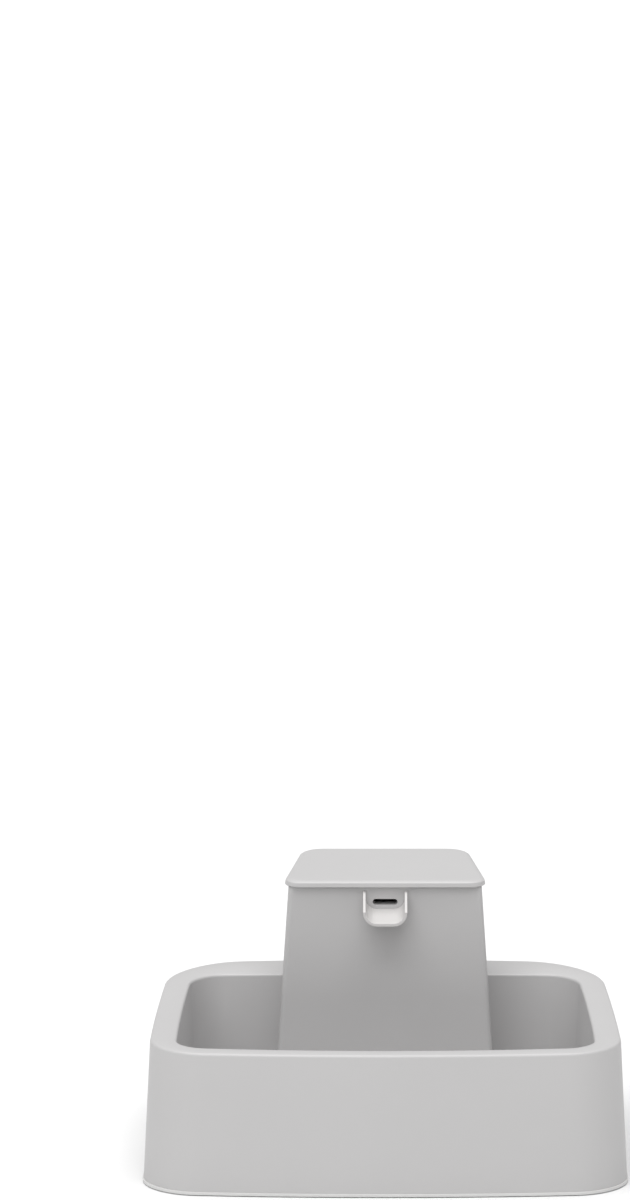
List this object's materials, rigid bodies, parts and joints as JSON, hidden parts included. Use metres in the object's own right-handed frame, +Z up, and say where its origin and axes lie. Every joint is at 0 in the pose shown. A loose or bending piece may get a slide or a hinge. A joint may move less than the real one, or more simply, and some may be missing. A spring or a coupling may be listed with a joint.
{
  "type": "pet water fountain",
  "caption": "Wide basin with a standing tower, spout, lift-out pump, filter stack, branched riser, flow valve and lid; shown assembled, opening into a stack.",
  "frame": {"origin": "on the table under the centre of the basin's base plate", "axes": "+X along the basin's width to the right, +Y to the back, +Z up"},
  "size_m": [0.3494, 0.338, 0.1926],
  "materials": {
    "basin_tub": "fine moulded texture",
    "base_plate": "satin",
    "rubber_feet": "matte",
    "base_screws": "zinc plated",
    "cord_grommet": "soft matte",
    "wall_lead": "satin",
    "supply_cord": "satin",
    "cord_coil": "satin",
    "cord_tie": "satin",
    "plug_body": "satin",
    "plug_shell": "satin",
    "plug_tongue": "satin",
    "pump_housing": "satin",
    "resin_panel": "gloss",
    "inlet_cover": "satin",
    "impeller": "satin",
    "rotor_magnet": "sintered",
    "impeller_shaft": "polished ceramic",
    "shaft_bushes": "matte",
    "stator_core": "laminated",
    "coil_windings": "enamelled copper",
    "suction_cups": "satin",
    "lead_gland": "satin",
    "pump_lead": "satin",
    "foam_block": "open-cell foam",
    "filter_tray": "satin",
    "filter_cartridge": "satin",
    "filter_media": "granular",
    "media_screen": "satin",
    "filter_funnel": "satin",
    "riser_front": "satin",
    "riser_rear": "satin",
    "tower_shell": "fine moulded texture",
    "spout_scoop": "satin",
    "pipe_seal": "matte",
    "valve_washer": "matte",
    "flow_valve": "satin",
    "lid": "fine moulded texture"
  },
  "bodies": {
    "base": {"basin_tub": "basin_tub", "base_plate": "base_plate", "rubber_feet": "rubber_feet", "base_screws": "base_screws", "cord_grommet": "cord_grommet", "wall_lead": "wall_lead", "supply_cord": "supply_cord", "cord_coil": "cord_coil", "cord_tie": "cord_tie", "plug_body": "plug_body", "plug_shell": "plug_shell", "plug_tongue": "plug_tongue"},
    "pump": {"pump_housing": "pump_housing", "resin_panel": "resin_panel", "inlet_cover": "inlet_cover", "impeller_shaft": "impeller_shaft", "shaft_bushes": "shaft_bushes", "stator_core": "stator_core", "coil_windings": "coil_windings", "suction_cups": "suction_cups", "lead_gland": "lead_gland", "pump_lead": "pump_lead"},
    "rotor": {"impeller": "impeller", "rotor_magnet": "rotor_magnet"},
    "foam": {"foam_block": "foam_block"},
    "tray": {"filter_tray": "filter_tray"},
    "cartridge": {"filter_cartridge": "filter_cartridge", "filter_media": "filter_media", "media_screen": "media_screen"},
    "funnel": {"filter_funnel": "filter_funnel"},
    "riser": {"riser_front": "riser_front", "riser_rear": "riser_rear"},
    "tower": {"tower_shell": "tower_shell", "spout_scoop": "spout_scoop", "pipe_seal": "pipe_seal"},
    "valve_seat": {"valve_washer": "valve_washer"},
    "valve": {"flow_valve": "flow_valve"},
    "lid": {"lid": "lid"}
  },
  "joints": [
    {"name": "pump_lift", "type": "slide", "parent": "base", "child": "pump", "axis": [0, 0, 1], "range_m": [0, 0.151]},
    {"name": "foam_lift", "type": "slide", "parent": "pump", "child": "foam", "axis": [0, 0, 1], "range_m": [0, 0.061]},
    {"name": "tray_lift", "type": "slide", "parent": "foam", "child": "tray", "axis": [0, 0, 1], "range_m": [0, 0.028]},
    {"name": "cartridge_lift", "type": "slide", "parent": "tray", "child": "cartridge", "axis": [0, 0, 1], "range_m": [0, 0.04]},
    {"name": "funnel_lift", "type": "slide", "parent": "cartridge", "child": "funnel", "axis": [0, 0, 1], "range_m": [0, 0.0535]},
    {"name": "riser_lift", "type": "slide", "parent": "funnel", "child": "riser", "axis": [0, 0, 1], "range_m": [0, 0.0265]},
    {"name": "tower_lift", "type": "slide", "parent": "riser", "child": "tower", "axis": [0, 0, 1], "range_m": [0, 0.1845]},
    {"name": "valve_seat_lift", "type": "slide", "parent": "tower", "child": "valve_seat", "axis": [0, 0, 1], "range_m": [0, 0.0725]},
    {"name": "lid_lift", "type": "slide", "parent": "valve_seat", "child": "lid", "axis": [0, 0, 1], "range_m": [0, 0.0145]},
    {"name": "impeller_spin", "type": "hinge", "parent": "pump", "child": "rotor", "pos_m": [0.012, 0.0508, 0.02465], "axis": [1, 0, 0], "continuous": true},
    {"name": "valve_turn", "type": "hinge", "parent": "valve_seat", "child": "valve", "pos_m": [0, 0.0578, 0.1698], "axis": [0, 0, -1], "range_deg": [-180, 0]}
  ]
}
